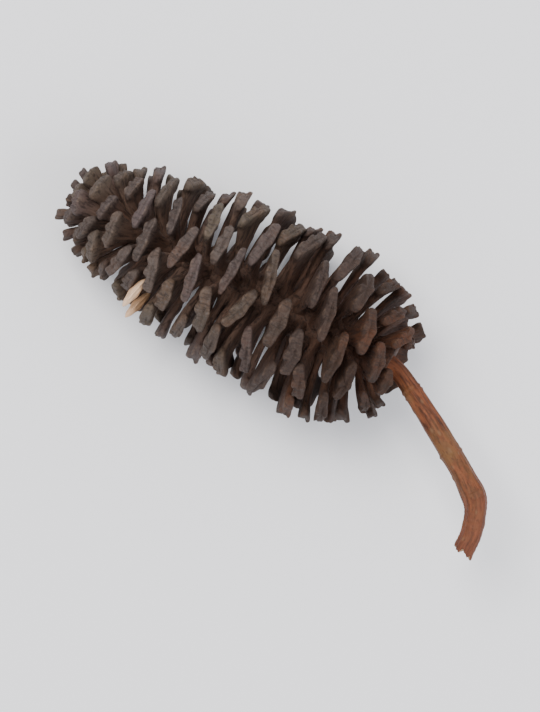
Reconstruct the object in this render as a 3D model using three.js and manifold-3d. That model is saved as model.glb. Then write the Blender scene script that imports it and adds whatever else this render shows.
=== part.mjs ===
// An open alder cone as picked: the woody cone lying on its side, the stalk it hung by, and two seeds still
// lodged between its scales. Millimetres, +Z up. The cone points along +X and rests on the plane Z = 0.
import * as THREE from "three";
import { mergeVertices } from "three/addons/utils/BufferGeometryUtils.js";
import Module from "manifold-3d";

const wasm = await Module();
wasm.setup();

const { degToRad, lerp, clamp } = THREE.MathUtils;

// Pose: where the stalk end of the cone's axis is, and how far the tip dips to lie on its scales
const BASE_AT = new THREE.Vector3(-8.04, -1.01, 6.85);
const TIP_DIP = degToRad(6.5);
const FLOOR_SLAB = { size: 60, thickness: 4 };

// Outline that the scale ends reach, along the axis from the stalk end
const CONE_LENGTH = 25.4;
const CONE_WIDTH = 11.9;
const WIDEST_AT = 8.6;
const BASE_FALL = { along: 2.3, across: 2.7 };
const TIP_FALL = { along: 1.25, across: 3 };
const OUTLINE_STEPS = 600;

// Rachis, the woody core that the scales grow from
const RACHIS = { start: 1.4, end: 22.6, radius: 1.55, tipRadius: 0.7, sides: 10, rings: 5 };

// Scales, one after another on a spiral of the golden angle
const SCALE_COUNT = 150;
const GOLDEN_ANGLE = Math.PI * (3 - Math.sqrt(5));
const FIRST_TURN = degToRad(16);
const REACH_OF_FIRST = 2.3;
const REACH_OF_LAST = 0.8;
const CROWDING_TO_TIP = 0.2;
const LEAN = { toTip: 3.6, toBase: 2.2, sharpness: 4 };
const SCALE_ANGLE = degToRad(34);
const ROOT = { sink: 0.5, halfWidth: 0.34, halfThickness: 0.36 };
const NECK = { share: 0.68, halfThickness: 0.3, widening: 0.6 };
const LIP = { share: 0.92, halfThickness: 0.46, thinnest: 0.32, relief: 0.6 };
const LOBES = { lobe: 0.1, bract: 0.16, sag: 0.3 };
const RIM = { widthShare: 0.88, thicknessShare: 0.7 };
const BOW = 0.12;
const SPREAD = { turn: 0.09, twist: 0.3, length: 0.3, rise: 0.26 };
const FIRST_DRAW = 7;

// Places where the drying scales have parted, by the turn round the axis, and how far they stand aside there
const PARTINGS = [
  { along: 18.5, turn: degToRad(180), aside: 0.35 },
  { along: 16.4, turn: degToRad(180), aside: 0.3 },
  { along: 12.8, turn: degToRad(180), aside: 0.45 },
  { along: 7.8, turn: degToRad(180), aside: 0.4 },
  { along: 4.3, turn: degToRad(180), aside: 0.4 },
  { along: 18.3, turn: degToRad(50), aside: 0.4 },
  { along: 17.2, turn: degToRad(10), aside: 0.4 },
  { along: 15.5, turn: degToRad(0), aside: 0.35 },
  { along: 14.1, turn: degToRad(0), aside: 0.35 },
  { along: 10, turn: degToRad(0), aside: 0.4 },
  { along: 7.5, turn: degToRad(0), aside: 0.3 },
];
const PARTING_REACH = { along: 1.6, turn: degToRad(45) };

// Stalk: its route from the rachis, at rest beside the cone's own axis, and how thick it is on the way
const STALK_ROUTE = [
  [0.85, 0, 0],
  [-0.9, 0.8, 0.1],
  [-4.3, 2.7, 0.3],
  [-6.6, 4.1, 0.1],
  [-7.8, 5.1, -0.2],
  [-8.5, 6.9, -0.5],
  [-8.6, 8.1, -0.6],
];
const STALK = { startRadius: 0.56, radius: 0.7, fullBy: 0.33, sides: 10, rings: 26 };
const KNEE = { share: 0.72, bulge: 0.12, length: 0.07 };

// Seeds: flat nutlets, thickest in the middle, each held edge on between two scales
const SEED = { length: 2.4, width: 1.5, thickness: 0.62, bluntness: 0.6, sides: 8, rings: 6 };
const SEED_ENDS = 0.05;
const SEEDS = [
  { along: 17.96, reach: 4.67, turn: degToRad(37), spin: degToRad(-36), tilt: degToRad(12) },
  { along: 17.65, reach: 4.39, turn: degToRad(11), spin: degToRad(-4), tilt: degToRad(16) },
];

let drawState = FIRST_DRAW;

/** A repeatable random number between plus and minus spread. */
function draw(spread) {
  drawState = (Math.imul(drawState, 1664525) + 1013904223) >>> 0;
  return (drawState / 2 ** 31 - 1) * spread;
}

/** How far the scale ends stand from the axis: a superellipse quarter on each side of the widest place. */
function reachAt(along) {
  const run = along > WIDEST_AT ? CONE_LENGTH - WIDEST_AT : WIDEST_AT;
  const fall = along > WIDEST_AT ? TIP_FALL : BASE_FALL;
  const share = Math.min(1, Math.abs(along - WIDEST_AT) / run);
  return (CONE_WIDTH / 2) * (1 - share ** fall.along) ** (1 / fall.across);
}

/** Points of the outline from the first scale's reach to the last one's, with the distance walked so far. */
function walkOutline() {
  const points = [];
  for (let i = 0; i <= OUTLINE_STEPS; i++) {
    const along = (CONE_LENGTH * (1 - Math.cos((Math.PI * i) / OUTLINE_STEPS))) / 2;
    const reach = reachAt(along);
    if (reach < (along < WIDEST_AT ? REACH_OF_FIRST : REACH_OF_LAST)) continue;
    const last = points.at(-1);
    const walked = last ? last.walked + Math.hypot(along - last.along, reach - last.reach) : 0;
    points.push({ along, reach, walked });
  }
  return points;
}

/** The point of the outline at a share of its whole length. */
function outlineAt(outline, share) {
  const walked = share * outline.at(-1).walked;
  const next = Math.max(1, outline.findIndex((p) => p.walked >= walked));
  const [a, b] = [outline[next - 1], outline[next]];
  const t = (walked - a.walked) / (b.walked - a.walked);
  return { along: lerp(a.along, b.along, t), reach: lerp(a.reach, b.reach, t) };
}

/** Rachis radius at a place along the axis. */
function rachisRadiusAt(along) {
  const t = clamp((along - RACHIS.start) / (RACHIS.end - RACHIS.start), 0, 1);
  return lerp(RACHIS.radius, RACHIS.tipRadius, t ** 2);
}

/** Where a scale is rooted, from where its end is: it leans back at the base and on at the tip. */
function rootAlong(along) {
  const share = along / CONE_LENGTH;
  return along - LEAN.toTip * share ** LEAN.sharpness + LEAN.toBase * (1 - share) ** LEAN.sharpness;
}

/** How far the partings push a scale's end along the axis. */
function partedBy(along, turn) {
  return PARTINGS.reduce((sum, parting) => {
    const away = along - parting.along;
    const round = Math.acos(Math.cos(turn - parting.turn)) / PARTING_REACH.turn;
    const fade = Math.exp(-(round ** 2) - Math.abs(away) / PARTING_REACH.along);
    return sum + Math.sign(away) * parting.aside * fade;
  }, 0);
}

/** Every scale's root and end in its own half plane through the axis, its turn, and its small differences. */
function placeScales() {
  const outline = walkOutline();
  return Array.from({ length: SCALE_COUNT }, (_, i) => {
    const share = (i + 0.5) / SCALE_COUNT;
    const end = outlineAt(outline, share * (1 + CROWDING_TO_TIP * (1 - share)));
    const root = rootAlong(end.along);
    const turn = FIRST_TURN + i * GOLDEN_ANGLE + draw(SPREAD.turn);
    const endAlong = end.along + partedBy(end.along, turn) + draw(SPREAD.rise);
    return {
      turn,
      twist: draw(SPREAD.twist),
      root: new THREE.Vector2(root, rachisRadiusAt(root) - ROOT.sink),
      end: new THREE.Vector2(endAlong, end.reach + draw(SPREAD.length)),
      size: end.reach / (CONE_WIDTH / 2),
    };
  });
}

/** A closed solid from rings of points, each anticlockwise seen from the side that the rings run to. */
function loft(rings) {
  const faces = [];
  let start = 0;
  for (let r = 0; r + 1 < rings.length; r++) {
    const [a, b] = [rings[r].length, rings[r + 1].length];
    const next = start + a;
    let [i, j] = [0, 0];
    while (i < a || j < b) {
      const here = start + (i % a);
      const there = next + (j % b);
      if (i < a && (j >= b || (i + 1) / a <= (j + 1) / b)) {
        i += 1;
        faces.push(here, start + (i % a), there);
      } else {
        j += 1;
        faces.push(here, next + (j % b), there);
      }
    }
    start = next;
  }
  for (let i = 1; i + 1 < rings[0].length; i++) faces.push(0, i + 1, i);
  for (let i = 1; i + 1 < rings.at(-1).length; i++) faces.push(start, start + i, start + i + 1);
  return new THREE.BufferGeometry().setFromPoints(rings.flat()).setIndex(faces);
}

/** A manifold solid from a closed geometry. */
function solidOf(geometry) {
  const bare = geometry.clone();
  bare.deleteAttribute("normal");
  bare.deleteAttribute("uv");
  const merged = mergeVertices(bare, 1e-4);
  return new wasm.Manifold(
    new wasm.Mesh({
      numProp: 3,
      vertProperties: new Float32Array(merged.attributes.position.array),
      triVerts: new Uint32Array(merged.index.array),
    }),
  );
}

/** A three.js geometry from a manifold solid. */
function geometryOf(solid) {
  const mesh = solid.getMesh();
  return new THREE.BufferGeometry()
    .setAttribute("position", new THREE.BufferAttribute(mesh.vertProperties, mesh.numProp))
    .setIndex(new THREE.BufferAttribute(mesh.triVerts, 1));
}

// Sections across a scale: how far across and up each point is, as shares of the half width and of the half
// thickness, and how far a point of the lip stands out from it
const ROOT_SECTION = [
  { across: 1, up: 0.6 },
  { across: -1, up: 0.6 },
  { across: 0, up: -1 },
];
const NECK_SECTION = [
  { across: 1, up: 1 },
  { across: -1, up: 1 },
  { across: -0.85, up: -1 },
  { across: 0.85, up: -1 },
];
const LIP_SECTION = [
  { across: 1, up: 0.05 },
  { across: 0.72, up: 0.86, out: LOBES.lobe },
  { across: 0.4, up: 0.7, out: -LOBES.lobe },
  { across: 0.03, up: 1, out: LOBES.lobe },
  { across: -0.36, up: 0.7, out: -LOBES.lobe },
  { across: -0.7, up: 0.86, out: LOBES.lobe },
  { across: -1, up: 0.05 },
  { across: -0.6, up: -0.76 },
  { across: 0, up: -1.05, out: LOBES.bract },
  { across: 0.6, up: -0.76 },
];

/** One scale: a wedge that fans out from the rachis to a thick lip, lobed on one side, with a bract point. */
function scaleGeometry({ turn, twist, root, end, size }) {
  const lean = end.clone().sub(root);
  const length = lean.length();
  lean.normalize();
  const axis = new THREE.Vector3(1, 0, 0);
  const radial = new THREE.Vector3(0, Math.cos(turn), Math.sin(turn));
  const at = (x, r) => axis.clone().multiplyScalar(x).addScaledVector(radial, r);
  const out = at(lean.x, lean.y);
  const up = at(lean.y, -lean.x).applyAxisAngle(out, twist);
  const side = up.clone().cross(out);
  const start = at(root.x, root.y);
  const halfWidth = Math.max(ROOT.halfWidth, end.y * Math.tan(SCALE_ANGLE / 2));
  const halfThickness = lerp(LIP.thinnest, LIP.halfThickness, size);
  const ring = (section, share, width, thickness, relief) =>
    section.map((p) => {
      const outward = share * length + relief * size * ((p.out ?? 0) - LOBES.sag * p.across ** 2);
      const upward = p.up * thickness + BOW * Math.sin(Math.PI * share);
      return start
        .clone()
        .addScaledVector(out, outward)
        .addScaledVector(side, p.across * width)
        .addScaledVector(up, upward);
    });
  return loft([
    ring(ROOT_SECTION, 0, ROOT.halfWidth, ROOT.halfThickness, 0),
    ring(NECK_SECTION, NECK.share, lerp(ROOT.halfWidth, halfWidth, NECK.widening), NECK.halfThickness, 0),
    ring(LIP_SECTION, LIP.share, halfWidth, halfThickness, LIP.relief),
    ring(LIP_SECTION, 1, halfWidth * RIM.widthShare, halfThickness * RIM.thicknessShare, 1),
  ]);
}

/** The rachis, turned about the axis. */
function rachisGeometry() {
  const profile = [new THREE.Vector2(0, RACHIS.start)];
  for (let i = 0; i <= RACHIS.rings; i++) {
    const along = lerp(RACHIS.start, RACHIS.end, i / RACHIS.rings);
    profile.push(new THREE.Vector2(rachisRadiusAt(along), along));
  }
  profile.push(new THREE.Vector2(0, RACHIS.end));
  return new THREE.LatheGeometry(profile, RACHIS.sides).rotateZ(-Math.PI / 2);
}

/** The cone: the scales fused to the rachis, then worn flat where it lies on the ground. */
function coneGeometry(pose) {
  const scales = placeScales().map((scale) => solidOf(scaleGeometry(scale)));
  const cone = wasm.Manifold.union([solidOf(rachisGeometry()), ...scales]);
  const slab = new THREE.BoxGeometry(FLOOR_SLAB.size, FLOOR_SLAB.size, FLOOR_SLAB.thickness);
  slab.translate(0, 0, -FLOOR_SLAB.thickness / 2).applyMatrix4(pose.clone().invert());
  return geometryOf(cone.subtract(solidOf(slab)));
}

/** The stalk: a round section carried along its route, tapered to the cone and swollen at the knee. */
function stalkGeometry() {
  const route = new THREE.CatmullRomCurve3(STALK_ROUTE.map((p) => new THREE.Vector3(...p)));
  const frames = route.computeFrenetFrames(STALK.rings);
  const rings = Array.from({ length: STALK.rings + 1 }, (_, i) => {
    const share = i / STALK.rings;
    const bulge = KNEE.bulge * Math.exp(-(((share - KNEE.share) / KNEE.length) ** 2));
    const radius = lerp(STALK.startRadius, STALK.radius, Math.min(1, share / STALK.fullBy)) + bulge;
    return Array.from({ length: STALK.sides }, (_, j) => {
      const angle = (2 * Math.PI * j) / STALK.sides;
      return route
        .getPointAt(share)
        .addScaledVector(frames.normals[i], radius * Math.cos(angle))
        .addScaledVector(frames.binormals[i], radius * Math.sin(angle));
    });
  });
  return loft(rings);
}

/** A seed: flat sections along its length, widest in the middle, that close towards both ends. */
function seedGeometry() {
  const rings = Array.from({ length: SEED.rings }, (_, i) => {
    const share = lerp(SEED_ENDS, 1 - SEED_ENDS, i / (SEED.rings - 1));
    const full = Math.sin(Math.PI * share) ** SEED.bluntness;
    return Array.from({ length: SEED.sides }, (_, j) => {
      const angle = (2 * Math.PI * j) / SEED.sides;
      const across = (SEED.width / 2) * full * Math.cos(angle);
      const rise = (SEED.thickness / 2) * full * Math.sin(angle);
      return new THREE.Vector3((share - 0.5) * SEED.length, across, rise);
    });
  });
  return loft(rings);
}

const BARK = new THREE.MeshStandardMaterial({ color: 0x4a382c, roughness: 0.85 });
const TWIG = new THREE.MeshStandardMaterial({ color: 0x9a6248, roughness: 0.75 });
const NUTLET = new THREE.MeshStandardMaterial({ color: 0xc8a078, roughness: 0.6 });

/** A named mesh. */
function part(name, geometry, material) {
  const mesh = new THREE.Mesh(geometry, material);
  mesh.name = name;
  return mesh;
}

/** A seed set between the scales: its flat faces look along the axis, turned in that plane, then tilted. */
function placedSeed(name, { along, reach, turn, spin, tilt }) {
  const seed = part(name, seedGeometry(), NUTLET);
  seed.position.set(along, reach * Math.cos(turn), reach * Math.sin(turn));
  seed.rotation.set(turn - Math.PI / 2 + spin, Math.PI / 2 + tilt, 0, "XYZ");
  return seed;
}

const conePose = new THREE.Group();
conePose.position.copy(BASE_AT);
conePose.rotation.y = TIP_DIP;
conePose.updateMatrix();
conePose.add(
  part("cone", coneGeometry(conePose.matrix), BARK),
  part("stalk", stalkGeometry(), TWIG),
  ...SEEDS.map((seed, i) => placedSeed(`seed_${i + 1}`, seed)),
);

const group = new THREE.Group();
group.add(conePose);
export default group;
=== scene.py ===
import math

import bpy
import numpy as np
from mathutils import Matrix, Vector


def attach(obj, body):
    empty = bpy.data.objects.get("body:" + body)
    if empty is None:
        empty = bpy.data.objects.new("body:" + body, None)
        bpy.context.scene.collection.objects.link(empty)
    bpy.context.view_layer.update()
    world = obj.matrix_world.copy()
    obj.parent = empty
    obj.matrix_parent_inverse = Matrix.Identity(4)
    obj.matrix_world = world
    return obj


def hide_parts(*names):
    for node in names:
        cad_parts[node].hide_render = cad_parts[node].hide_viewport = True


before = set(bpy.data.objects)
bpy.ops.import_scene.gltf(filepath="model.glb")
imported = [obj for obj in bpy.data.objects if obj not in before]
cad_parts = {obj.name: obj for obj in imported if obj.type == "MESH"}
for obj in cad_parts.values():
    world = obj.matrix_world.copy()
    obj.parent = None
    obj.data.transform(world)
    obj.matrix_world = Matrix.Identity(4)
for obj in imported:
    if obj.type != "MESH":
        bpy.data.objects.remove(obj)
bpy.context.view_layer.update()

# An open alder cone lying on its side, the stalk it hung by, and two seeds held between its scales.
# Shapes are worked out in millimetres in the cone's own frame, +X along its axis from the stalk end to the
# tip, then laid down and written to the meshes in metres.
MM = 0.001

# Pose: where the stalk end of the axis is, and how far the tip dips
BASE_AT = np.array([-8.04, -1.01, 6.85])
TIP_DIP = math.radians(6.5)

# Outline that the scale ends reach, and the powers along and across by which it falls to each end
CONE_LENGTH = 25.4
CONE_WIDTH = 11.9
WIDEST_AT = 8.6
BASE_FALL = (2.3, 2.7)
TIP_FALL = (1.25, 3.0)
OUTLINE_STEPS = 600

# Rachis: its ridges stand on a core that is sunk below its radius
RACHIS_START, RACHIS_END = 1.4, 22.6
RACHIS_RADIUS, RACHIS_TIP_RADIUS = 1.55, 0.7
RACHIS_RINGS, RACHIS_POINTS_ROUND = 110, 84
RIDGE_HEIGHT, CORE_SINK = 0.16, 0.14
# The rachis's coat: its tone, and a small reach that gives it the painted shade of the scales' roots.
RACHIS_TONE, RACHIS_DEPTH = 0.5, 0.05

# Scales on their spiral
SCALE_COUNT = 150
GOLDEN_ANGLE = math.pi * (3 - math.sqrt(5))
FIRST_TURN = math.radians(16)
REACH_OF_FIRST, REACH_OF_LAST = 2.3, 0.8
CROWDING_TO_TIP = 0.2
LEAN_TO_TIP, LEAN_TO_BASE, LEAN_SHARPNESS = 3.6, 2.2, 4
SCALE_ANGLE = math.radians(34)
ROOT_SINK, ROOT_HALF_WIDTH = 0.5, 0.34
LIP_HALF_THICKNESS, LIP_THINNEST = 0.46, 0.32
BOW = 0.12
SPREAD_TURN, SPREAD_RISE, SPREAD_TWIST, SPREAD_LENGTH = 0.09, 0.26, 0.3, 0.3
FIRST_DRAW = 7

# Partings among the scales: along the axis, turn round it, and how far the scales stand aside
PARTINGS = np.array([
    (18.5, 180, 0.35),
    (16.4, 180, 0.3),
    (12.8, 180, 0.45),
    (7.8, 180, 0.4),
    (4.3, 180, 0.4),
    (18.3, 50, 0.4),
    (17.2, 10, 0.4),
    (15.5, 0, 0.35),
    (14.1, 0, 0.35),
    (10, 0, 0.4),
    (7.5, 0, 0.3),
])
PARTING_REACH = 1.6
PARTING_TURN = math.radians(45)

# Fine form of one scale: places along it are shares of its length, and those on its end, of the section
BLADE_HALF_THICKNESS = (0.18, 0.34)
BLADE_FAN = 1.35
ROOT_SWELLING, ROOT_SWELLING_SHARE, SWELLING_TO_WIDTH = 0.4, 0.13, 0.6
SHOULDER, LIP_AT, FLARE_LEAD = 0.8, 0.93, 0.06
BLADE_RINGS, FLARE_RINGS, POINTS_ROUND = 15, 7, 72
END_SECTIONS = np.array([1, 0.985, 0.955, 0.91, 0.84, 0.75, 0.64, 0.52, 0.39, 0.26, 0.13])
LOBE_PITCH, LOBE_HEIGHT, CLEFT_DEPTH = 0.72, 0.11, 0.05
BRACT_HEIGHT, BRACT_WIDTH = 0.2, 0.26
GROOVE_DEPTH, GROOVE_WIDTH, GROOVE_DROP, GROOVE_BEND = 0.1, 0.15, 0.16, 0.12
TIP_EDGE, TIP_EDGE_LOBES, BASE_EDGE, BASE_EDGE_BRACT = 0.88, 0.1, 0.78, 0.3
END_ROUNDING, END_ROUGHNESS = 0.3, 0.03
RIB_HEIGHT, PIT_DEPTH = 0.0175, 0.018
RECURVE = 0.12
VARY_WIDTH, VARY_THICKNESS = 0.05, 0.1
VARY_LOBE_AT, VARY_LOBE_DEPTH, VARY_BRACT_AT = 0.07, 0.3, 0.1
VARY_END_TILTS, VARY_RECURVE, VARY_SWEEP = (0.07, 0.1), 0.06, 0.06
GRAIN_SPREAD = 40
FIBRE_WAVES = ((9, 0.5), (16, 0.35), (27, 0.25))
PIT_WAVES = ((11, 3, 20), (-7, 5, 31), (17, -4, 11), (5, 7, -26))
BANDS = 4

# Stalk: its route, the length hidden in the cone before it, and its form. Shares are of its outer length.
STALK_ROUTE = np.array([
    (0.85, 0, 0),
    (-0.9, 0.8, 0.1),
    (-4.3, 2.7, 0.3),
    (-6.6, 4.1, 0.1),
    (-7.8, 5.1, -0.2),
    (-8.5, 6.9, -0.5),
    (-8.6, 8.1, -0.6),
])
STALK_HIDDEN = 1.35
STALK_START_RADIUS, STALK_RADIUS, STALK_FULL_BY = 0.56, 0.7, 0.33
STALK_RINGS, STALK_POINTS_ROUND = 240, 72
CURVE_STEPS = 60
FLARE_HEIGHT, FLARE_LENGTH = 0.35, 0.9
KNEE_AT, KNEE_BULGE, KNEE_LENGTH = 0.72, 0.12, 0.07
COLLARS_AT, COLLAR_HEIGHT, COLLAR_WIDTH = (3.0, 3.35, 7.9), 0.06, 0.09
WRINKLE_HEIGHT = 0.012
PORE_COUNT, PORE_SIZES, PORE_STRETCH, PORE_HEIGHT = 26, (0.06, 0.13), 2.2, 0.045
PORES_FROM, PORES_SHORT_OF_END = 3.6, 0.6
SCAR_TURN, SCAR_RADIUS, SCAR_BEND = 1.3, 0.8, 0.9
SCAR_HALF_LENGTH, SCAR_HALF_WIDTH = 0.24, 0.46
SCAR_DEPTH, SCAR_RIM_HEIGHT = 0.05, 0.07
BREAK_SECTIONS = np.array([0.96, 0.88, 0.76, 0.62, 0.46, 0.3, 0.14])
BREAK_SLANT, BREAK_TURN, BREAK_LEAD = 0.3, 0.8, 0.35

# Seeds: along the axis, reach from it, turn round it, spin and tilt in degrees
SEEDS = ((17.96, 4.67, 37, -36, 12), (17.65, 4.39, 11, -4, 16))
SEED_LENGTH, SEED_WIDTH, SEED_THICKNESS = 2.4, 1.5, 0.62
SEED_RIM_HALF_THICKNESS = 0.09
SEED_RINGS, SEED_POINTS_ROUND = 48, 56

# Where the fine variation of each kind of piece starts its random draws, and where a drawn phase ends
SCALE_DRAWS, STALK_DRAWS, SEED_DRAWS = 20, 5, 30
PHASE_END = 6.28

# Camera: it looks straight down, turned so that the tip points up and to the left
VIEW_RIGHT = Vector((-0.878, -0.479, 0)).normalized()
VIEW_UP = Vector((0.479, -0.878, 0)).normalized()
PICTURE_WIDTH, PICTURE_HEIGHT = 540, 712
LENS = 300
SENSOR = 36
FILL_OF_WIDTH = 0.8

# Floor and lights: sizes and places are in metres
FLOOR_SIZE, FLOOR_DROP = 4, 0.00002
LIGHTS_AIM_HEIGHT = 0.006
SURROUND_STRENGTH = 0.95


def smooth(low, high, value):
    """0 up to low, 1 from high on, and an S curve between. With low above high it falls instead."""
    t = np.clip((value - low) / (high - low), 0, 1)
    return t * t * (3 - 2 * t)


def mix(a, b, t):
    """a at t = 0 and b at t = 1."""
    return a + (b - a) * t


def layered(*values):
    """Arrays spread to one shape and stacked, so that each point gets one number from each."""
    return np.stack(np.broadcast_arrays(*values), axis=-1)


def angles_round(count):
    """Even angles round a circle, as one row."""
    return np.linspace(0, 2 * math.pi, count, endpoint=False)[None]


def draws(count):
    """Repeatable numbers from -1 to 1, by the same rule that placed the frame's scales."""
    state = FIRST_DRAW
    numbers = []
    for _ in range(count):
        state = (state * 1664525 + 1013904223) % 2**32
        numbers.append(state / 2**31 - 1)
    return np.array(numbers)


def laid_down(points):
    """Points of the cone's own frame turned by the dip about Y and moved to its place.

    Those that would be under the ground lie on it.
    """
    cos, sin = math.cos(TIP_DIP), math.sin(TIP_DIP)
    x = points[..., 0] * cos + points[..., 2] * sin
    z = points[..., 2] * cos - points[..., 0] * sin
    placed = np.stack([x, points[..., 1], z], axis=-1) + BASE_AT
    placed[..., 2] = np.maximum(placed[..., 2], 0)
    return placed


# Mesh making


def grid_faces(rings, around):
    """Quads between neighbouring rings of a tube, as indices into its rings x around points."""
    ring, step = np.meshgrid(np.arange(rings - 1), np.arange(around), indexing="ij")
    here = ring * around + step
    beside = ring * around + (step + 1) % around
    return np.stack([here, beside, beside + around, here + around], axis=-1).reshape(-1, 4)


def tube_faces(rings, around):
    """Quads and end triangles of a tube with a pole point before its first ring and one after its last."""
    quads = grid_faces(rings, around) + 1
    step = np.arange(around)
    beside = (step + 1) % around
    last = 1 + (rings - 1) * around
    first_fan = np.stack([np.zeros(around, int), beside + 1, step + 1], axis=-1)
    last_fan = np.stack([np.full(around, last + around), last + step, last + beside], axis=-1)
    return quads, np.concatenate([first_fan, last_fan])


def close_tubes(values):
    """Values on tubes, as (tubes, rings, around, numbers), put in the order that tube_faces takes.

    Each tube's pole points take the mean of its first ring and of its last.
    """
    flat = values.reshape(len(values), -1, values.shape[-1])
    first, last = values[:, 0].mean(axis=1), values[:, -1].mean(axis=1)
    return np.concatenate([first[:, None], flat, last[:, None]], axis=1)


def mesh_piece(name, points, faces, coat, grain):
    """A smooth piece from points in millimetres, its quads and triangles, and its points' coat and grain.

    The coat's three numbers steer the colours. The grain is a place for patterns that follow the piece.
    """
    quads, triangles = faces
    mesh = bpy.data.meshes.new(name)
    mesh.vertices.add(len(points))
    mesh.vertices.foreach_set("co", (points * MM).astype(np.float32).ravel())
    sizes = np.concatenate([np.full(len(quads), 4), np.full(len(triangles), 3)])
    corners = np.concatenate([quads.ravel(), triangles.ravel()])
    mesh.loops.add(len(corners))
    mesh.loops.foreach_set("vertex_index", corners.astype(np.int32))
    mesh.polygons.add(len(sizes))
    mesh.polygons.foreach_set("loop_start", (np.cumsum(sizes) - sizes).astype(np.int32))
    mesh.polygons.foreach_set("use_smooth", np.ones(len(sizes), bool))
    opaque = np.concatenate([coat, np.ones((len(coat), 1))], axis=1)
    coat_layer = mesh.attributes.new("coat", "FLOAT_COLOR", "POINT")
    coat_layer.data.foreach_set("color", opaque.astype(np.float32).ravel())
    grain_layer = mesh.attributes.new("grain", "FLOAT_VECTOR", "POINT")
    grain_layer.data.foreach_set("vector", grain.astype(np.float32).ravel())
    mesh.update(calc_edges=True)
    mesh.validate()
    piece = bpy.data.objects.new(name, mesh)
    bpy.context.scene.collection.objects.link(piece)
    return piece


def repeated_faces(faces, points_each, copies):
    """The faces of one tube repeated for each copy, with the indices moved on."""
    quads, triangles = faces
    shift = np.arange(copies)[:, None, None] * points_each
    return (quads[None] + shift).reshape(-1, 4), (triangles[None] + shift).reshape(-1, 3)


def dress(piece, node, material):
    """Lets a piece ride on the root body, stand for its node, and take its slot and material."""
    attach(piece, "root")
    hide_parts(node)
    piece.data.materials.append(material)


# Where the scales stand


def reach_at(along):
    """Reach of the scale ends: half the width times (1 - share^a)^(1/b) each side of the widest place."""
    tip_side = along > WIDEST_AT
    room = np.where(tip_side, CONE_LENGTH - WIDEST_AT, WIDEST_AT)
    share = np.clip(np.abs(along - WIDEST_AT) / room, 0, 1)
    by_along = np.where(tip_side, TIP_FALL[0], BASE_FALL[0])
    by_across = np.where(tip_side, TIP_FALL[1], BASE_FALL[1])
    return CONE_WIDTH / 2 * (1 - share**by_along) ** (1 / by_across)


def outline_at(share):
    """Places on the outline at shares of its length, from the first scale's reach to the last one's."""
    along = CONE_LENGTH * (1 - np.cos(np.linspace(0, math.pi, OUTLINE_STEPS + 1))) / 2
    reach = reach_at(along)
    kept = reach >= np.where(along < WIDEST_AT, REACH_OF_FIRST, REACH_OF_LAST)
    along, reach = along[kept], reach[kept]
    walked = np.concatenate([[0], np.cumsum(np.hypot(np.diff(along), np.diff(reach)))])
    at = share * walked[-1]
    return np.interp(at, walked, along), np.interp(at, walked, reach)


def rachis_radius(along):
    """Radius of the rachis, falling by the square of the share of its length."""
    share = np.clip((along - RACHIS_START) / (RACHIS_END - RACHIS_START), 0, 1)
    return mix(RACHIS_RADIUS, RACHIS_TIP_RADIUS, share**2)


def parted_by(along, turn):
    """How far the partings push a scale's end: away from each, fading along the axis and round it."""
    away = along[:, None] - PARTINGS[:, 0]
    around = np.arccos(np.cos(turn[:, None] - np.radians(PARTINGS[:, 1]))) / PARTING_TURN
    fade = np.exp(-(around**2) - np.abs(away) / PARTING_REACH)
    return (np.sign(away) * PARTINGS[:, 2] * fade).sum(axis=1)


def place_scales():
    """Each scale's start, three directions, length, half width, half thickness and size, as arrays.

    The turn grows by the golden angle. The ends stand at even shares of the outline, closer together
    towards the tip. A scale's root is behind its end near the tip, and ahead of it near the base, by a
    power of the share of the axis. Partings push the ends aside, and small drawn amounts spread them.
    """
    number = np.arange(SCALE_COUNT)
    share = (number + 0.5) / SCALE_COUNT
    by_turn, by_rise, by_twist, by_length = draws(4 * SCALE_COUNT).reshape(SCALE_COUNT, 4).T
    along, reach = outline_at(share * (1 + CROWDING_TO_TIP * (1 - share)))
    turn = FIRST_TURN + number * GOLDEN_ANGLE + by_turn * SPREAD_TURN
    tipward = along / CONE_LENGTH
    root_x = along - LEAN_TO_TIP * tipward**LEAN_SHARPNESS + LEAN_TO_BASE * (1 - tipward) ** LEAN_SHARPNESS
    root_r = rachis_radius(root_x) - ROOT_SINK
    lean_x = along + parted_by(along, turn) + by_rise * SPREAD_RISE - root_x
    end_r = reach + by_length * SPREAD_LENGTH
    lean_r = end_r - root_r
    length = np.hypot(lean_x, lean_r)
    lean_x, lean_r = (lean_x / length)[:, None], (lean_r / length)[:, None]
    axis = np.array([1.0, 0, 0])
    radial = np.stack([np.zeros(SCALE_COUNT), np.cos(turn), np.sin(turn)], axis=1)
    out = axis * lean_x + radial * lean_r
    upright = axis * lean_r - radial * lean_x
    twist = (by_twist * SPREAD_TWIST)[:, None]
    up = upright * np.cos(twist) + np.cross(out, upright) * np.sin(twist)
    return {
        "start": axis * root_x[:, None] + radial * root_r[:, None],
        "out": out,
        "up": up,
        "side": np.cross(up, out),
        "length": length,
        "half_width": np.maximum(ROOT_HALF_WIDTH, end_r * math.tan(SCALE_ANGLE / 2)),
        "half_thickness": mix(LIP_THINNEST, LIP_HALF_THICKNESS, reach / (CONE_WIDTH / 2)),
        "size": reach / (CONE_WIDTH / 2),
    }


# Scales


def scale_rings():
    """Rings from root to end: each one's share of the length, and how much of the full section it keeps.

    The blade's rings are even up to the shoulder and close together where it flares to the lip. The end
    is a flat dome: where it keeps a share f, it is (1 - f^4)^(1/4) of the way from the lip to the end.
    """
    blade = np.linspace(0, SHOULDER, BLADE_RINGS, endpoint=False)
    flare = np.linspace(SHOULDER, LIP_AT, FLARE_RINGS, endpoint=False)
    dome = LIP_AT + (1 - LIP_AT) * (1 - END_SECTIONS**4) ** 0.25
    share = np.concatenate([blade, flare, dome])
    kept = np.concatenate([np.ones(BLADE_RINGS + FLARE_RINGS), END_SECTIONS])
    return share, kept


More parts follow.
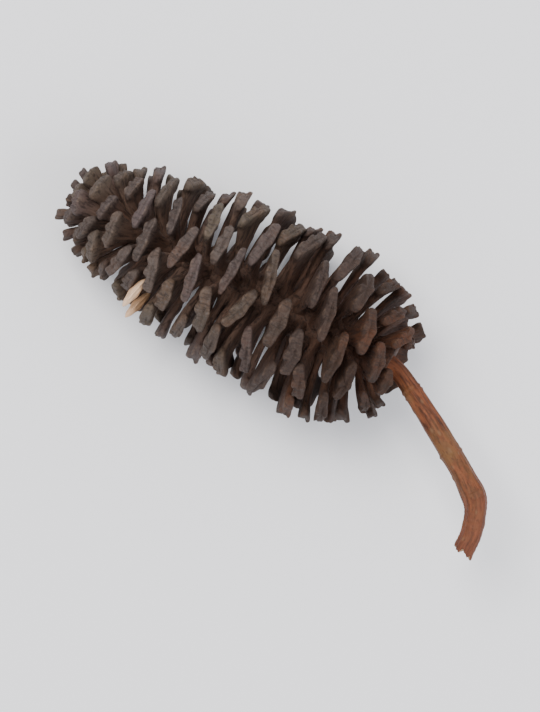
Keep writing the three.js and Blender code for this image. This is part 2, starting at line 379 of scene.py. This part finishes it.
def rounded_section(angle):
    """A section's points across and up, from -1 to 1, on the curve |across|^3 + |up|^3 = 1."""
    across = np.cos(angle)
    up = np.sign(np.sin(angle)) * (1 - np.abs(across) ** 3) ** (1 / 3)
    return across, up


def scale_relief(x, y, share, rng):
    """Fibres across every scale and pits in it: sums of sines, with a phase for each scale and wave."""

    def phase():
        """A drawn phase for each scale."""
        return rng.uniform(0, PHASE_END, (SCALE_COUNT, 1, 1))

    fibre = sum(np.sin(kx * x + phase()) * part for kx, part in FIBRE_WAVES)
    pits = sum(np.sin(kx * x + ky * y + ks * share + phase()) for kx, ky, ks in PIT_WAVES)
    return fibre, pits / len(PIT_WAVES)


def scale_surfaces(placed, rng):
    """Points, coat and grain of every scale.

    A scale is a tube of sections. Its half width grows as a power of the share and flares to the lip's.
    Its half thickness is the blade's up to the shoulder and swells to the lip's. Where it leaves the
    rachis both gain a bell curve of the share, so that it runs into the wood.

    On the lip the tip side carries rounded lobes, a cosine across, and the base side a bract point, a
    bell curve across. They also stand out of the end face, with clefts between the lobes and a groove
    that bends round the bract. The end falls off by the square across, tilts a little each way and curls
    towards the base. The blade bows as half a sine wave of the share and carries fine ribs.
    """

    def vary(spread):
        """A normal draw for each scale, times the spread, cut off at twice the spread."""
        return np.clip(rng.normal(0, 1, SCALE_COUNT), -2, 2)[:, None, None] * spread

    def of_scales(name):
        """What place_scales gives by this name, ready to meet the rings and the points round them."""
        return placed[name][:, None, None]

    share, kept = (values[None, :, None] for values in scale_rings())
    across, up = rounded_section(angles_round(POINTS_ROUND)[None])
    lip = smooth(SHOULDER - FLARE_LEAD, LIP_AT, share)

    lip_width = of_scales("half_width") * (1 + vary(VARY_WIDTH))
    fan = share**BLADE_FAN * (1 - lip) + lip
    swelling = ROOT_SWELLING * np.exp(-((share / ROOT_SWELLING_SHARE) ** 2))
    width = mix(ROOT_HALF_WIDTH, lip_width, fan) + SWELLING_TO_WIDTH * swelling
    lip_thickness = of_scales("half_thickness") * (1 + vary(VARY_THICKNESS))
    thickness = mix(mix(*BLADE_HALF_THICKNESS, share), lip_thickness, lip) + swelling

    wave = np.cos(2 * math.pi * (across - vary(VARY_LOBE_AT)) / LOBE_PITCH)
    lobe_depth = 1 + vary(VARY_LOBE_DEPTH)
    bract = np.exp(-(((across - vary(VARY_BRACT_AT)) / BRACT_WIDTH) ** 2))
    tip_side, base_side = smooth(-0.1, 0.3, up), smooth(0.1, -0.3, up)
    tip_edge = TIP_EDGE + TIP_EDGE_LOBES * lobe_depth * wave
    base_edge = BASE_EDGE + BASE_EDGE_BRACT * bract
    section_up = up * mix(1.0, tip_side * tip_edge + base_side * base_edge, lip)
    x, y = across * kept, section_up * kept
    fibre, pits = scale_relief(x, y, share, rng)

    groove = np.exp(-(((y + GROOVE_DROP - GROOVE_BEND * bract) / GROOVE_WIDTH) ** 2)) * (1 - x**2)
    end_face = lip * (
        LOBE_HEIGHT * lobe_depth * wave * smooth(0, 0.6, y) * kept**1.5
        + BRACT_HEIGHT * bract * smooth(0.05, -0.7, y)
        - END_ROUNDING * x**2
        - GROOVE_DEPTH * groove
        - CLEFT_DEPTH * smooth(0.1, 0.7, y) * (1 - wave) / 2
        + END_ROUGHNESS * pits
        + END_ROUGHNESS * fibre * smooth(0, 0.5, y)
        + vary(VARY_END_TILTS[0]) * x
        + vary(VARY_END_TILTS[1]) * y
    )
    size = of_scales("size")
    outward = share * of_scales("length") + end_face * size
    recurve = (RECURVE + vary(VARY_RECURVE)) * smooth(0.7, 1, share)
    rise = y * thickness + BOW * np.sin(math.pi * share) - recurve * size
    rib = RIB_HEIGHT * fibre * smooth(0.15, 0.5, share) * (1 - 0.6 * lip)
    rise = rise + rib * up + PIT_DEPTH * pits * lip
    sideways = x * width * (1 + 0.02 * pits) + vary(VARY_SWEEP) * share**2

    points = (
        of_scales("start")
        + outward[..., None] * of_scales("out")
        + sideways[..., None] * of_scales("side")
        + rise[..., None] * of_scales("up")
    )
    tone = rng.uniform(0, 1, (SCALE_COUNT, 1, 1))
    crest = lip * smooth(0.55, 0.95, kept) * (0.55 + 0.45 * wave * tip_side + 0.4 * bract * base_side)
    # The share along each scale also sets the painted shade at its root.
    coat = layered(tone, share, np.clip(crest, 0, 1))
    own_place = rng.uniform(-GRAIN_SPREAD, GRAIN_SPREAD, (SCALE_COUNT, 1, 1, 3))
    grain = layered(sideways, rise, outward) + own_place
    return points, coat, grain


def make_scales(material):
    """The scales in bands from the base to the tip, each band one piece."""
    points, coat, grain = scale_surfaces(place_scales(), np.random.default_rng(SCALE_DRAWS))
    one = tube_faces(*points.shape[1:3])
    points, coat, grain = laid_down(close_tubes(points)), close_tubes(coat), close_tubes(grain)
    for band, members in enumerate(np.array_split(np.arange(SCALE_COUNT), BANDS)):
        faces = repeated_faces(one, points.shape[1], len(members))
        at, coated, grained = (values[members].reshape(-1, 3) for values in (points, coat, grain))
        piece = mesh_piece(f"scales_{band + 1}", at, faces, coated, grained)
        dress(piece, "cone", material)


def make_rachis(material):
    """The woody core: a tube with winding ridges that run down from the scales, closed at both ends.

    The ridges are the product of two |sin| waves that wind round it opposite ways, and finer sines.
    Its coat is that of a scale of middling tone near its root, so it takes the painted shade of the
    scales' roots.
    """
    along = np.linspace(RACHIS_START, RACHIS_END, RACHIS_RINGS)[:, None]
    angle = angles_round(RACHIS_POINTS_ROUND)
    one_way, other_way = np.sin(2.5 * angle + 1.3 * along), np.sin(4 * angle - 0.9 * along)
    ridges = RIDGE_HEIGHT * np.abs(one_way) * np.abs(other_way)
    fine = 0.02 * np.sin(21 * angle + 0.6 * along) + 0.015 * np.sin(13 * angle - 5 * along)
    radius = rachis_radius(along) - CORE_SINK + ridges + fine
    rings = layered(along, radius * np.cos(angle), radius * np.sin(angle))
    points = close_tubes(rings[None])[0]
    coat = np.broadcast_to((RACHIS_TONE, RACHIS_DEPTH, 0), points.shape)
    faces = tube_faces(RACHIS_RINGS, RACHIS_POINTS_ROUND)
    piece = mesh_piece("rachis", laid_down(points), faces, coat, points)
    dress(piece, "cone", material)


# Stalk


def spline(route, steps):
    """A centripetal Catmull-Rom curve through the route: even points, unit tangents and its length.

    Each span is a cubic whose end slopes come from the three chords around it, with the square root of
    each chord's length as its share of the parameter.
    """
    knots = np.concatenate([[2 * route[0] - route[1]], route, [2 * route[-1] - route[-2]]])
    gaps = np.sqrt(np.linalg.norm(np.diff(knots, axis=0), axis=1))[:, None]
    t = np.linspace(0, 1, CURVE_STEPS)[:, None]
    spans = []
    for k in range(1, len(knots) - 2):
        p0, p1, p2, p3 = knots[k - 1 : k + 3]
        g0, g1, g2 = gaps[k - 1 : k + 2]
        slope1 = ((p1 - p0) / g0 - (p2 - p0) / (g0 + g1) + (p2 - p1) / g1) * g1
        slope2 = ((p2 - p1) / g1 - (p3 - p1) / (g1 + g2) + (p3 - p2) / g2) * g1
        h1, h2 = 2 * t**3 - 3 * t**2 + 1, t**3 - 2 * t**2 + t
        spans.append(h1 * p1 + h2 * slope1 + (1 - h1) * p2 + (t**3 - t**2) * slope2)
    fine = np.concatenate([span[:-1] for span in spans] + [spans[-1][-1:]])
    walked = np.concatenate([[0], np.cumsum(np.linalg.norm(np.diff(fine, axis=0), axis=1))])
    at = np.linspace(0, walked[-1], steps)
    points = np.stack([np.interp(at, walked, fine[:, i]) for i in range(3)], axis=1)
    tangents = np.gradient(points, axis=0)
    return points, tangents / np.linalg.norm(tangents, axis=1)[:, None], walked[-1]


def bark_radius(share, walked, outer, angle):
    """Radius of the bark without its pores and its scar.

    It grows from the cone on, with a bell curve as a flare at the rachis and another at the knee. Long
    ridges are a sum of sines round it that drift along it. Collars, where bud scales fell, are bell curves
    along it. From the middle on uneven wrinkles run round it, as a sine of the way along that others bend.
    """
    radius = mix(STALK_START_RADIUS, STALK_RADIUS, np.clip(outer / STALK_FULL_BY, 0, 1))
    radius = radius + KNEE_BULGE * np.exp(-(((outer - KNEE_AT) / KNEE_LENGTH) ** 2))
    radius = radius + FLARE_HEIGHT * np.exp(-((walked / FLARE_LENGTH) ** 2))
    ridges = 0.035 * np.sin(5 * angle + 0.35 * walked) + 0.018 * np.sin(9 * angle - 0.5 * walked + 1)
    ridges = ridges + 0.012 * np.sin(17 * angle + 0.8 * walked) * np.sin(1.3 * walked)
    collars = sum(
        COLLAR_HEIGHT * np.exp(-(((walked - at - 0.1 * np.sin(angle + at)) / COLLAR_WIDTH) ** 2))
        for at in COLLARS_AT
    )
    wrinkles = np.sin(19 * walked + 2 * np.sin(3 * angle) + 3 * np.sin(1.7 * walked))
    uneven = smooth(0.55, 0.75, share) * (0.5 + 0.5 * np.sin(2.3 * walked + 2 * angle))
    return radius * (1 + ridges) + collars + WRINKLE_HEIGHT * wrinkles * uneven


def bark_pores(walked, angle, length, rng):
    """Raised pores from 0 to 1: a bell curve at each drawn place, longer along the stalk than round it."""
    drawn = zip(
        rng.uniform(PORES_FROM, length - PORES_SHORT_OF_END, PORE_COUNT),
        rng.uniform(0, PHASE_END, PORE_COUNT),
        rng.uniform(*PORE_SIZES, PORE_COUNT),
    )
    pores = np.zeros_like(walked + angle)
    for at, turn, size in drawn:
        away = np.arccos(np.cos(angle - turn)) * STALK_RADIUS
        pores = pores + np.exp(-(((walked - at) / (PORE_STRETCH * size)) ** 2) - (away / size) ** 2)
    return np.clip(pores, 0, 1)


def leaf_scar(walked, angle, length):
    """The leaf scar on the knee and its rim, from 0 to 1: an ellipse bent by a square of the way round."""
    knee = mix(STALK_HIDDEN, length, KNEE_AT)
    away = np.arccos(np.cos(angle - SCAR_TURN)) * SCAR_RADIUS
    bent = walked - knee + SCAR_BEND * away**2
    field = (bent / SCAR_HALF_LENGTH) ** 2 + (away / SCAR_HALF_WIDTH) ** 2
    return smooth(1.25, 0.8, field), np.exp(-(((field - 1.1) / 0.3) ** 2))


def section_points(centre, radius, angle, side, upward):
    """Points at a radius and an angle round a centre, in the plane of two directions."""
    cos, sin = np.cos(angle)[..., None], np.sin(angle)[..., None]
    return centre + radius[..., None] * (cos * side + sin * upward)


def make_stalk(material):
    """The stalk: round sections carried along its route, from inside the cone to its snapped end.

    The break slants as a cosine round it, and its torn fibres are a sum of sines round it. Both push the
    last sections along the stalk, and smaller sections carry the same heights in to the middle.
    """
    route = np.concatenate([[STALK_ROUTE[0] + (STALK_HIDDEN, 0, 0)], STALK_ROUTE])
    path, tangent, length = spline(route, STALK_RINGS)
    side = np.cross((0, 0, 1.0), tangent)
    side = side / np.linalg.norm(side, axis=1)[:, None]
    upward = np.cross(tangent, side)
    share = np.linspace(0, 1, STALK_RINGS)[:, None]
    angle = angles_round(STALK_POINTS_ROUND)
    walked = share * length
    outer = np.clip((walked - STALK_HIDDEN) / (length - STALK_HIDDEN), 0, 1)

    pores = bark_pores(walked, angle, length, np.random.default_rng(STALK_DRAWS))
    scar, scar_rim = leaf_scar(walked, angle, length)
    radius = bark_radius(share, walked, outer, angle)
    radius = radius + PORE_HEIGHT * pores + SCAR_RIM_HEIGHT * scar_rim - SCAR_DEPTH * scar

    slant = BREAK_SLANT * np.cos(angle - BREAK_TURN)
    torn = 0.16 * np.sin(3 * angle + 0.6) + 0.1 * np.sin(7 * angle) + 0.07 * np.sin(13 * angle + 2)
    lead = smooth(length - BREAK_LEAD, length, walked) * (slant + torn)
    bark = section_points(path[:, None], radius, angle, side[:, None], upward[:, None])
    bark = bark + lead[..., None] * tangent[:, None]
    bark_coat = layered(np.clip(pores + 0.5 * scar, 0, 1), 0, outer)
    bark_grain = layered(angle * STALK_RADIUS, walked, 0)

    closing = BREAK_SECTIONS[:, None]
    height = slant * closing + torn * closing + 0.1 * (1 - closing)
    height = height + 0.06 * np.sin(22 * closing + 5 * angle)
    middle = path[-1] + height[..., None] * tangent[-1]
    wood = section_points(middle, closing * radius[-1], angle, side[-1], upward[-1])
    wood_coat = layered(0 * angle, smooth(0.97, 0.85, closing), 1)
    wood_grain = layered(closing * np.cos(angle), length, closing * np.sin(angle))

    points = close_tubes(np.concatenate([bark, wood])[None])[0]
    coat = close_tubes(np.concatenate([bark_coat, wood_coat])[None])[0]
    grain = close_tubes(np.concatenate([bark_grain, wood_grain])[None])[0]
    quads, triangles = tube_faces(STALK_RINGS + len(BREAK_SECTIONS), STALK_POINTS_ROUND)
    outward_faces = quads[:, ::-1], triangles[:, ::-1]
    piece = mesh_piece("stalk_fine", laid_down(points), outward_faces, coat, grain)
    dress(piece, "stalk", material)


# Seeds


def seed_surface(rng):
    """Points of a seed that lies flat, how much of each is nutlet, and its share t of the length.

    The half width is sin(pi t)^0.6, so that it narrows to both ends, with a slightly ragged rim. The half
    thickness is the thin rim's plus a flat bell curve across for the nutlet, with low ribs along it.
    """
    t = np.linspace(0.012, 0.988, SEED_RINGS)[:, None]
    x, edge = rounded_section(angles_round(SEED_POINTS_ROUND))
    full = np.sin(math.pi * t) ** 0.6
    ragged = 1 + 0.03 * np.sin(9 * math.pi * t + rng.uniform(0, 6)) + 0.02 * np.sin(23 * math.pi * t)
    across = SEED_WIDTH / 2 * full * x * mix(1, ragged, np.abs(x) ** 4)
    nutlet = np.exp(-(((x * full) / 0.55) ** 4)) * np.sin(math.pi * np.clip(t * 1.08 - 0.04, 0, 1)) ** 0.7
    ribs = 0.03 * np.cos(11 * x) * nutlet + 0.02 * np.sin(17 * t + 5 * x)
    plump = SEED_THICKNESS / 2 - SEED_RIM_HALF_THICKNESS
    rise = edge * (SEED_RIM_HALF_THICKNESS * full**0.5 + plump * nutlet + ribs)
    rise = rise + 0.06 * np.sin(math.pi * t) * np.sin(2 * x + 0.5)
    points = layered(SEED_LENGTH * (t - 0.5), across, rise)
    return points, nutlet, t


def make_seed(ripe, place, material):
    """A seed set in between the scales: spun and tilted, turned round the axis, and moved to its place.

    The first seed has 0 for ripe and is pale, and the second has 1.
    """
    number = ripe + 1
    local, nutlet, t = seed_surface(np.random.default_rng(SEED_DRAWS + ripe))
    along, reach, *angles = place
    turn, spin, tilt = np.radians(angles)
    stood_up = Matrix.Rotation(math.pi / 2 + tilt, 3, "Y")
    set_in = Matrix.Rotation(turn - math.pi / 2 + spin, 3, "X") @ stood_up
    centre = np.array([along, reach * math.cos(turn), reach * math.sin(turn)])
    points = close_tubes((local @ np.array(set_in).T + centre)[None])[0]
    coat = close_tubes(layered(nutlet, t, ripe)[None])[0]
    grain = close_tubes(local[None])[0]
    faces = tube_faces(SEED_RINGS, SEED_POINTS_ROUND)
    piece = mesh_piece(f"seed_{number}_fine", laid_down(points), faces, coat, grain)
    dress(piece, f"seed_{number}", material)


# Materials


class Nodes:
    """A short way to add and wire the nodes of one material."""

    def __init__(self, name):
        self.material = bpy.data.materials.new(name)
        self.material.use_nodes = True
        self.tree = self.material.node_tree
        self.shader = self.tree.nodes["Principled BSDF"]

    def add(self, kind, settings=None, **inputs):
        """A node with its settings and inputs: an input is a value or another node's output."""
        node = self.tree.nodes.new(kind)
        for key, value in (settings or {}).items():
            setattr(node, key, value)
        for key, value in inputs.items():
            self.put(node, key, value)
        return node

    def put(self, node, key, value):
        """Feeds an input given by its name, or by its number as i0 or i1."""
        numbered = key[0] == "i" and key[1:].isdigit()
        self.feed(node.inputs[int(key[1:])] if numbered else node.inputs[key], value)

    def feed(self, socket, value):
        """Links a value to a socket where it is another node's output, and sets it otherwise."""
        if isinstance(value, bpy.types.NodeSocket):
            self.tree.links.new(value, socket)
        else:
            socket.default_value = value

    def coat(self):
        """The three numbers of the piece's coat."""
        colour = self.add("ShaderNodeAttribute", {"attribute_name": "coat"}).outputs["Color"]
        return self.add("ShaderNodeSeparateColor", None, Color=colour).outputs[:3]

    def grain(self):
        """The place in the piece's own grain, in millimetres."""
        return self.add("ShaderNodeAttribute", {"attribute_name": "grain"}).outputs["Vector"]

    def place(self):
        """The place in the object, in metres."""
        return self.add("ShaderNodeTexCoord").outputs["Object"]

    def noise(self, vector, scale, detail=4.0, roughness=0.6, distortion=0.0):
        """Cloudy noise from 0 to 1."""
        node = self.add("ShaderNodeTexNoise", None, Vector=vector, Scale=scale, Detail=detail)
        self.put(node, "Roughness", roughness)
        self.put(node, "Distortion", distortion)
        return node.outputs["Fac"]

    def stretched(self, vector, scale):
        """The vector scaled unevenly, so that a pattern on it runs along the fibres."""
        node = self.add("ShaderNodeMapping", None, Vector=vector)
        node.inputs["Scale"].default_value = scale
        return node.outputs["Vector"]

    def range(self, value, low, high, to_low=0.0, to_high=1.0):
        """The value carried from one range to another and kept within it."""
        node = self.add("ShaderNodeMapRange", None, Value=value)
        ends = {"From Min": low, "From Max": high, "To Min": to_low, "To Max": to_high}
        for key, number in ends.items():
            self.put(node, key, number)
        return node.outputs["Result"]

    def maths(self, operation, a, b=0.0):
        """A sum of two numbers, or another operation on them."""
        return self.add("ShaderNodeMath", {"operation": operation}, i0=a, i1=b).outputs[0]

    def between(self, factor, a, b):
        """Number a where the factor is 0 and b where it is 1."""
        return self.add("ShaderNodeMix", None, i0=factor, i2=a, i3=b).outputs[0]

    def blend(self, factor, a, b, kind="MIX"):
        """Colour a where the factor is 0 and b where it is 1."""
        node = self.add("ShaderNodeMix", {"data_type": "RGBA", "blend_type": kind}, i0=factor, i6=a, i7=b)
        return node.outputs[2]

    def bump(self, height, strength, distance, under=None):
        """A normal tipped by a height pattern over a distance in millimetres, on another bump or alone."""
        node = self.add("ShaderNodeBump", None, Height=height, Strength=strength, Distance=distance * MM)
        if under is not None:
            self.put(node, "Normal", under)
        return node.outputs["Normal"]

    def finish(self, colour, roughness, normal, specular):
        """The material, with its colour, roughness, normal and shine wired up."""
        self.put(self.shader, "Base Color", colour)
        self.put(self.shader, "Roughness", roughness)
        self.put(self.shader, "Normal", normal)
        self.put(self.shader, "Specular IOR Level", specular)
        return self.material


# Colours of the scales, as linear red, green, blue and alpha
PLUM, OLIVE = (0.074, 0.051, 0.051, 1), (0.072, 0.053, 0.034, 1)
DARK_LIP, STALK_END_LIP = (0.044, 0.029, 0.025, 1), (0.032, 0.016, 0.008, 1)
# The root colour is painted shade, darker where the scales sit deep in the cone.
RUSSET, PAINTED_ROOT_SHADE = (0.12, 0.048, 0.018, 1), (0.11, 0.06, 0.04, 1)
BROWN_BLADE, PALE_BLADE = (0.15, 0.08, 0.053, 1), (0.23, 0.142, 0.105, 1)
FIBRE_BROWN, CRACK = (0.09, 0.06, 0.046, 1), (0.018, 0.011, 0.009, 1)
LIP_BLOOM, WORN_CREST = (0.105, 0.087, 0.079, 1), (0.17, 0.115, 0.078, 1)
STALK_END_SHADE = (0.53, 0.38, 0.29, 1)


def scale_wood():
    """Dark brown dry wood. Each scale's lip has its own tone, from dark to a lighter plum or olive.

    The blade is a lighter and redder brown inside the cone, and darker again at the root, a painted shade
    deep in the cone. The lip has a grey bloom and paler worn lobes. Fibres and cracks run along the blade
    and across the lip. Towards the stalk all of it darkens and warms, with more russet patches.
    """
    m = Nodes("dark_scale_wood")
    tone, reach, crest = m.coat()
    grain, place = m.grain(), m.place()
    on_lip = m.range(reach, 0.89, 0.95)
    blade_fibres = m.noise(m.stretched(grain, (9, 9, 1.3)), 1.0, 5, 0.65)
    lip_fibres = m.noise(m.stretched(grain, (7, 2.0, 5)), 1.0, 5, 0.65, 0.5)
    fibres = m.between(on_lip, blade_fibres, lip_fibres)
    blade_cracks = m.noise(m.stretched(grain, (6, 6, 0.8)), 1.0, 2, 0.5)
    lip_cracks = m.noise(m.stretched(grain, (6.5, 1.3, 4)), 1.0, 3, 0.6, 0.6)
    sound = m.range(m.between(on_lip, blade_cracks, lip_cracks), 0.36, 0.5)
    specks = m.noise(grain, 5.0, 4, 0.7)
    patches = m.noise(place, 260.0, 3, 0.5)
    stalk_side = m.range(m.add("ShaderNodeSeparateXYZ", None, Vector=place).outputs["X"], 0.006, -0.005)

    tint = m.range(m.maths("FRACT", m.maths("MULTIPLY", tone, 7.0)), 0.25, 0.75)
    lip = m.blend(m.range(tone, 0.1, 0.9), DARK_LIP, m.blend(tint, PLUM, OLIVE))
    warm = m.blend(m.maths("MULTIPLY", stalk_side, m.range(tone, 0.0, 0.5)), lip, STALK_END_LIP)
    rust = m.maths("MULTIPLY", m.range(patches, 0.5, 0.68), m.range(stalk_side, 0, 1, 0.35, 1.0))
    russet = m.blend(rust, warm, RUSSET)
    blade = m.blend(m.range(tone, 0.2, 0.8), BROWN_BLADE, PALE_BLADE)
    # Painted shade: the blade, and the rachis with it, darkens towards the root, deep in the cone.
    blade = m.blend(m.range(reach, 0.06, 0.35), PAINTED_ROOT_SHADE, blade)
    whole = m.blend(m.range(reach, 0.4, 0.93), blade, russet)
    streaked = m.blend(m.range(fibres, 0.4, 0.75, 0, 0.7), whole, FIBRE_BROWN)
    bloom_share = m.maths("MULTIPLY", m.range(reach, 0.9, 0.99), m.range(specks, 0.45, 0.8))
    bloom = m.blend(bloom_share, streaked, LIP_BLOOM)
    worn_share = m.maths("MULTIPLY", m.range(crest, 0.45, 1.0), m.range(specks, 0.4, 0.75))
    worn = m.blend(worn_share, bloom, WORN_CREST)
    shaded = m.blend(stalk_side, worn, STALK_END_SHADE, "MULTIPLY")
    lined = m.blend(m.range(sound, 0, 1, 0.6, 0), shaded, CRACK)

    rough = m.range(specks, 0.3, 0.7, 0.62, 0.86)
    normal = m.bump(fibres, 0.6, 0.08)
    normal = m.bump(sound, 0.5, 0.06, normal)
    normal = m.bump(m.noise(grain, 14.0, 3, 0.6), 0.45, 0.03, normal)
    return m.finish(lined, rough, normal, 0.3)


# Colours of the stalk
DARK_BARK, RED_BARK = (0.045, 0.015, 0.007, 1), (0.195, 0.06, 0.024, 1)
TAN_BARK, ROSY_BARK = (0.145, 0.068, 0.026, 1), (0.155, 0.05, 0.028, 1)
BARK_FLECK, PALE_PORE = (0.05, 0.02, 0.011, 1), (0.17, 0.088, 0.044, 1)
PALE_WOOD, OLD_WOOD = (0.55, 0.4, 0.25, 1), (0.3, 0.17, 0.09, 1)


def stalk_bark():
    """Thin reddish brown bark with long streaks, dark flecks, and paler pores and scar.

    It is tan in patches, most of all halfway along, and rosier past the knee. The break shows bare wood.
    """
    m = Nodes("reddish_stalk_bark")
    pale, bare, along = m.coat()
    grain, place = m.grain(), m.place()
    streaks = m.noise(m.stretched(grain, (4.2, 0.6, 4.2)), 1.0, 6, 0.65, 0.4)
    flecks = m.noise(m.stretched(grain, (8, 2.5, 8)), 1.0, 4, 0.65)
    patches = m.noise(place, 420.0, 4, 0.6)
    fine = m.noise(grain, 9.0, 4, 0.65)

    bark = m.blend(m.range(streaks, 0.35, 0.65), DARK_BARK, RED_BARK)
    from_middle = m.maths("ABSOLUTE", m.maths("SUBTRACT", along, 0.5))
    tan_share = m.range(m.maths("ADD", patches, m.range(from_middle, 0.02, 0.3, 0.17, 0)), 0.54, 0.78)
    tan = m.blend(tan_share, bark, TAN_BARK)
    rosy = m.blend(m.range(along, 0.62, 0.85, 0, 0.35), tan, ROSY_BARK)
    flecked = m.blend(m.range(flecks, 0.54, 0.7, 0, 0.8), rosy, BARK_FLECK)
    pored = m.blend(m.range(pale, 0.3, 0.9, 0, 0.6), flecked, PALE_PORE)
    broken = m.blend(bare, pored, m.blend(m.range(fine, 0.4, 0.65), PALE_WOOD, OLD_WOOD))

    rough = m.range(fine, 0.3, 0.7, 0.5, 0.75)
    normal = m.bump(streaks, 0.5, 0.08)
    normal = m.bump(fine, 0.4, 0.04, normal)
    return m.finish(broken, rough, normal, 0.2)


# Colours of the seeds
RIM_CREAM, NUTLET_TAN = (0.7, 0.45, 0.27, 1), (0.52, 0.3, 0.16, 1)
SEED_STREAK, SEED_TIP = (0.83, 0.57, 0.38, 1), (0.22, 0.11, 0.06, 1)
RIPER_SHADE = (0.93, 0.86, 0.78, 1)


def seed_husk():
    """Cream seed coat with pale streaks, a browner nutlet inside a lighter papery rim, and one brown tip.

    The riper seed is a little darker and browner.
    """
    m = Nodes("tan_seed_husk")
    nutlet, along, ripe = m.coat()
    grain = m.grain()
    streaks = m.noise(m.stretched(grain, (1.2, 8, 8)), 1.0, 5, 0.6)
    fine = m.noise(grain, 10.0, 3, 0.6)

    husk = m.blend(m.range(nutlet, 0.2, 0.8), RIM_CREAM, NUTLET_TAN)
    streaked = m.blend(m.range(streaks, 0.4, 0.65, 0, 0.8), husk, SEED_STREAK)
    ripened = m.blend(ripe, streaked, RIPER_SHADE, "MULTIPLY")
    tipped = m.blend(m.range(along, 0.86, 1.0), ripened, SEED_TIP)

    rough = m.range(fine, 0.3, 0.7, 0.4, 0.6)
    normal = m.bump(streaks, 0.4, 0.04)
    normal = m.bump(fine, 0.25, 0.02, normal)
    return m.finish(tipped, rough, normal, 0.45)


# Floor, light and camera


def make_floor():
    """A plain pale floor just under the cone, with a trace of unevenness in its tone."""
    bpy.ops.mesh.primitive_plane_add(size=FLOOR_SIZE, location=(0, 0, -FLOOR_DROP))
    floor = bpy.context.object
    floor.name = "floor"
    m = Nodes("pale_floor")
    cloud = m.noise(m.place(), 9.0, 2, 0.5)
    tone = m.blend(cloud, (0.92, 0.915, 0.935, 1), (0.945, 0.94, 0.96, 1))
    rough = m.range(cloud, 0, 1, 0.6, 0.7)
    floor.data.materials.append(m.finish(tone, rough, m.bump(cloud, 0.05, 0.1), 0.2))


def make_light(name, offset, size, power, colour):
    """A soft square light turned towards the cone.

    Its offset from there is to the right in the picture, up in the picture, and towards the camera.
    """
    aim = Vector((0, 0, LIGHTS_AIM_HEIGHT))
    right, up, above = offset
    place = aim + right * VIEW_RIGHT + up * VIEW_UP + Vector((0, 0, above))
    data = bpy.data.lights.new(name, "AREA")
    data.shape = "SQUARE"
    data.size = size
    data.energy = power
    data.color = colour
    light = bpy.data.objects.new(name, data)
    light.location = place
    light.rotation_euler = (aim - place).to_track_quat("-Z", "Y").to_euler()
    light.visible_camera = False
    bpy.context.scene.collection.objects.link(light)


def make_lights():
    """A key nearly overhead, a bit to the upper left, a fill from the lower right, and a pale surround."""
    make_light("key", (-0.13, 0.19, 0.55), 0.3, 3.4, (1.0, 0.98, 0.95))
    make_light("fill", (0.4, -0.2, 0.4), 0.4, 1.7, (0.95, 0.97, 1.0))
    world = bpy.data.worlds.new("studio")
    world.use_nodes = True
    surround = world.node_tree.nodes["Background"]
    surround.inputs["Color"].default_value = (0.93, 0.95, 1.0, 1)
    surround.inputs["Strength"].default_value = SURROUND_STRENGTH
    bpy.context.scene.world = world


def frame_points():
    """Every vertex of the frame's nodes, as one array."""
    of_nodes = []
    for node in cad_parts.values():
        flat = np.empty(len(node.data.vertices) * 3, np.float32)
        node.data.vertices.foreach_get("co", flat)
        of_nodes.append(flat.reshape(-1, 3))
    return np.concatenate(of_nodes)


def make_camera():
    """Straight above, at the distance where the object fills its share of the picture's width."""
    points = frame_points()
    right, up = points @ np.array(VIEW_RIGHT), points @ np.array(VIEW_UP)
    width = (right.max() - right.min()) / FILL_OF_WIDTH
    distance = width * PICTURE_HEIGHT / PICTURE_WIDTH * LENS / SENSOR
    centre = VIEW_RIGHT * (right.max() + right.min()) / 2 + VIEW_UP * (up.max() + up.min()) / 2
    above = Vector((0, 0, points[:, 2].max() / 2 + distance))
    turn = Matrix((VIEW_RIGHT, VIEW_UP, Vector((0, 0, 1)))).transposed().to_4x4()
    data = bpy.data.cameras.new("camera")
    data.lens = LENS
    data.sensor_width = SENSOR
    data.clip_start, data.clip_end = 0.01, 20
    camera = bpy.data.objects.new("camera", data)
    camera.matrix_world = Matrix.Translation(centre + above) @ turn
    bpy.context.scene.collection.objects.link(camera)
    bpy.context.scene.camera = camera


make_camera()
make_floor()
make_lights()
cone_wood = scale_wood()
make_rachis(cone_wood)
make_scales(cone_wood)
make_stalk(stalk_bark())
seed_coat = seed_husk()
for ripe, place in enumerate(SEEDS):
    make_seed(ripe, place, seed_coat)
